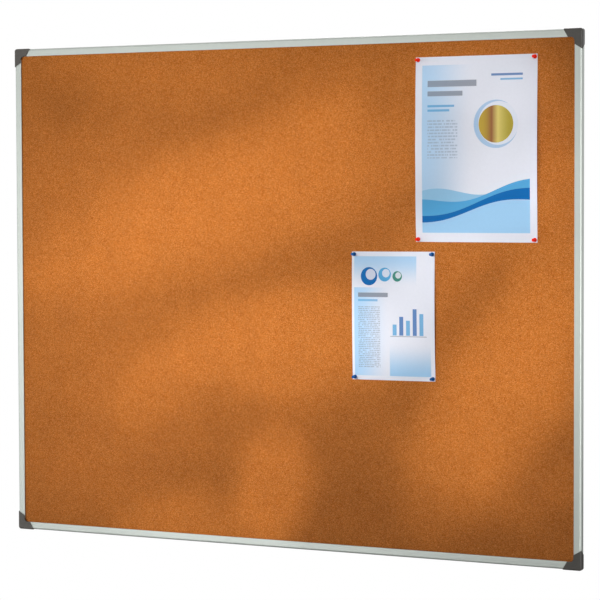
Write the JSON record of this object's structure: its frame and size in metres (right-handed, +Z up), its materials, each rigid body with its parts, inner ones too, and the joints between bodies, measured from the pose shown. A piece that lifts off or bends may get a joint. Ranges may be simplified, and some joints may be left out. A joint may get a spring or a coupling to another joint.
{
  "type": "cork notice board",
  "caption": "Wall-hung cork notice board: a cork-faced panel in an aluminium frame with plastic corner caps, and two sheets held by push pins.",
  "frame": {"origin": "centre of the rear plane, which lies against the wall", "axes": "+X to the right seen from the front, +Y into the wall, +Z up"},
  "size_m": [1.5026, 0.0223, 1.2026],
  "materials": {
    "anodised_rail": "satin",
    "cap_plastic": "matte",
    "bracket_plastic": "matte",
    "zinc_screw": "satin",
    "cork": "matte",
    "fibreboard": "matte",
    "kraft_backing": "matte",
    "printed_paper": "satin",
    "red_pin": "gloss",
    "blue_pin": "gloss",
    "needle_steel": "polished"
  },
  "bodies": {
    "board": {"rail_bottom": "anodised_rail", "rail_right": "anodised_rail", "rail_top": "anodised_rail", "rail_left": "anodised_rail", "corner_bracket_bottom_left": "bracket_plastic", "bracket_screw_bottom_left_1": "zinc_screw", "bracket_screw_bottom_left_2": "zinc_screw", "corner_bracket_bottom_right": "bracket_plastic", "bracket_screw_bottom_right_1": "zinc_screw", "bracket_screw_bottom_right_2": "zinc_screw", "corner_bracket_top_right": "bracket_plastic", "bracket_screw_top_right_1": "zinc_screw", "bracket_screw_top_right_2": "zinc_screw", "corner_bracket_top_left": "bracket_plastic", "bracket_screw_top_left_1": "zinc_screw", "bracket_screw_top_left_2": "zinc_screw", "cork_sheet": "cork", "core_board": "fibreboard", "backing_sheet": "kraft_backing", "poster_sheet": "printed_paper", "notice_sheet": "printed_paper"},
    "cap_bottom_left": {"corner_cap_bottom_left": "cap_plastic"},
    "cap_bottom_right": {"corner_cap_bottom_right": "cap_plastic"},
    "cap_top_right": {"corner_cap_top_right": "cap_plastic"},
    "cap_top_left": {"corner_cap_top_left": "cap_plastic"},
    "poster_pin_bottom_left": {"poster_pin_bottom_left": "red_pin", "poster_pin_bottom_left_needle": "needle_steel"},
    "poster_pin_bottom_right": {"poster_pin_bottom_right": "red_pin", "poster_pin_bottom_right_needle": "needle_steel"},
    "poster_pin_top_right": {"poster_pin_top_right": "red_pin", "poster_pin_top_right_needle": "needle_steel"},
    "poster_pin_top_left": {"poster_pin_top_left": "red_pin", "poster_pin_top_left_needle": "needle_steel"},
    "notice_pin_bottom_left": {"notice_pin_bottom_left": "blue_pin", "notice_pin_bottom_left_needle": "needle_steel"},
    "notice_pin_bottom_right": {"notice_pin_bottom_right": "blue_pin", "notice_pin_bottom_right_needle": "needle_steel"},
    "notice_pin_top_right": {"notice_pin_top_right": "blue_pin", "notice_pin_top_right_needle": "needle_steel"},
    "notice_pin_top_left": {"notice_pin_top_left": "blue_pin", "notice_pin_top_left_needle": "needle_steel"}
  },
  "joints": [
    {"name": "cap_bottom_left_pull", "type": "slide", "parent": "board", "child": "cap_bottom_left", "axis": [0, -1, 0], "range_m": [0, 0.02]},
    {"name": "cap_bottom_right_pull", "type": "slide", "parent": "board", "child": "cap_bottom_right", "axis": [0, -1, 0], "range_m": [0, 0.02]},
    {"name": "cap_top_right_pull", "type": "slide", "parent": "board", "child": "cap_top_right", "axis": [0, -1, 0], "range_m": [0, 0.02]},
    {"name": "cap_top_left_pull", "type": "slide", "parent": "board", "child": "cap_top_left", "axis": [0, -1, 0], "range_m": [0, 0.02]},
    {"name": "poster_pin_bottom_left_pull", "type": "slide", "parent": "board", "child": "poster_pin_bottom_left", "axis": [0, -1, 0], "range_m": [0, 0.012]},
    {"name": "poster_pin_bottom_right_pull", "type": "slide", "parent": "board", "child": "poster_pin_bottom_right", "axis": [0, -1, 0], "range_m": [0, 0.012]},
    {"name": "poster_pin_top_right_pull", "type": "slide", "parent": "board", "child": "poster_pin_top_right", "axis": [0, -1, 0], "range_m": [0, 0.012]},
    {"name": "poster_pin_top_left_pull", "type": "slide", "parent": "board", "child": "poster_pin_top_left", "axis": [0, -1, 0], "range_m": [0, 0.012]},
    {"name": "notice_pin_bottom_left_pull", "type": "slide", "parent": "board", "child": "notice_pin_bottom_left", "axis": [0, -1, 0], "range_m": [0, 0.012]},
    {"name": "notice_pin_bottom_right_pull", "type": "slide", "parent": "board", "child": "notice_pin_bottom_right", "axis": [0, -1, 0], "range_m": [0, 0.012]},
    {"name": "notice_pin_top_right_pull", "type": "slide", "parent": "board", "child": "notice_pin_top_right", "axis": [0, -1, 0], "range_m": [0, 0.012]},
    {"name": "notice_pin_top_left_pull", "type": "slide", "parent": "board", "child": "notice_pin_top_left", "axis": [0, -1, 0], "range_m": [0, 0.012]}
  ]
}
